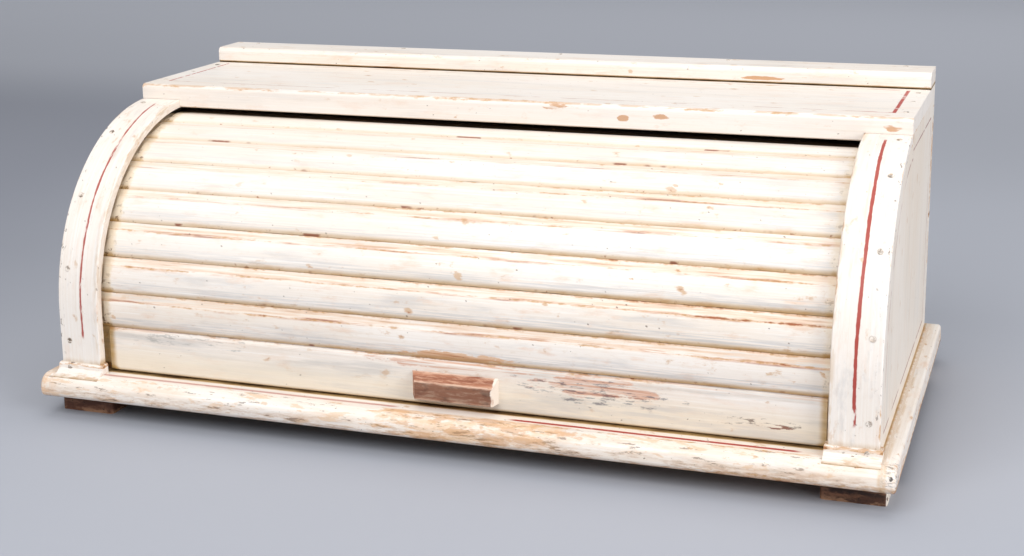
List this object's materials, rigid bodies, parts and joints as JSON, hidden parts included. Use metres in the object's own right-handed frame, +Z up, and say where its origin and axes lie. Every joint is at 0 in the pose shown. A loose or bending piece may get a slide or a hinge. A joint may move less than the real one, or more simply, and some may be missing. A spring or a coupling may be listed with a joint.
{
  "type": "roll-top bread box",
  "caption": "Wooden bread box with a rounded slatted roll top that slides up and back inside the case, on a wide rounded base.",
  "frame": {"origin": "under the middle of the base, on the surface that the feet stand on", "axes": "+Z up, -Y towards the roll top's front, +X to the right of someone facing the front"},
  "size_m": [0.624, 0.325, 0.2407],
  "materials": {
    "chipped_cream_paint": "old chipped cream paint over wood",
    "bare_pine": "bare aged pine",
    "dark_brown_wood": "dark brown stain, scuffed",
    "worn_red_brown_wood": "bare wood, worn smooth",
    "cotton_canvas": "plain weave, glued to the slats",
    "old_steel": "dull, slightly rusted"
  },
  "bodies": {
    "case": {"base_board": "chipped_cream_paint", "side_panel_left": "chipped_cream_paint", "side_panel_right": "chipped_cream_paint", "plinth_block_left": "chipped_cream_paint", "plinth_block_right": "chipped_cream_paint", "front_band_left": "chipped_cream_paint", "front_band_right": "chipped_cream_paint", "top_board": "chipped_cream_paint", "back_rail": "chipped_cream_paint", "guide_cheek_left": "bare_pine", "guide_cheek_right": "bare_pine", "back_board_lower": "bare_pine", "back_board_upper": "bare_pine", "inner_back": "bare_pine", "foot_front_left": "dark_brown_wood", "foot_front_right": "dark_brown_wood", "foot_rear_left": "dark_brown_wood", "foot_rear_right": "dark_brown_wood", "band_nails": "old_steel", "plinth_nails": "old_steel", "top_nails": "old_steel", "back_nails": "old_steel", "back_rail_nails": "old_steel", "cheek_screws": "old_steel", "base_screws": "old_steel", "foot_screws": "old_steel"},
    "curtain": {"slat_1": "chipped_cream_paint", "slat_2": "chipped_cream_paint", "slat_3": "chipped_cream_paint", "slat_4": "chipped_cream_paint", "slat_5": "chipped_cream_paint", "slat_6": "chipped_cream_paint", "slat_7": "chipped_cream_paint", "slat_8": "chipped_cream_paint", "slat_9": "chipped_cream_paint", "bottom_rail": "chipped_cream_paint", "canvas_backing": "cotton_canvas", "pull_block": "worn_red_brown_wood", "pull_screws": "old_steel"}
  },
  "joints": [
    {"name": "curtain_roll", "type": "hinge", "parent": "case", "child": "curtain", "pos_m": [0, -0.0085, 0.0765], "axis": [-1, 0, 0], "range_deg": [0, 92]}
  ]
}
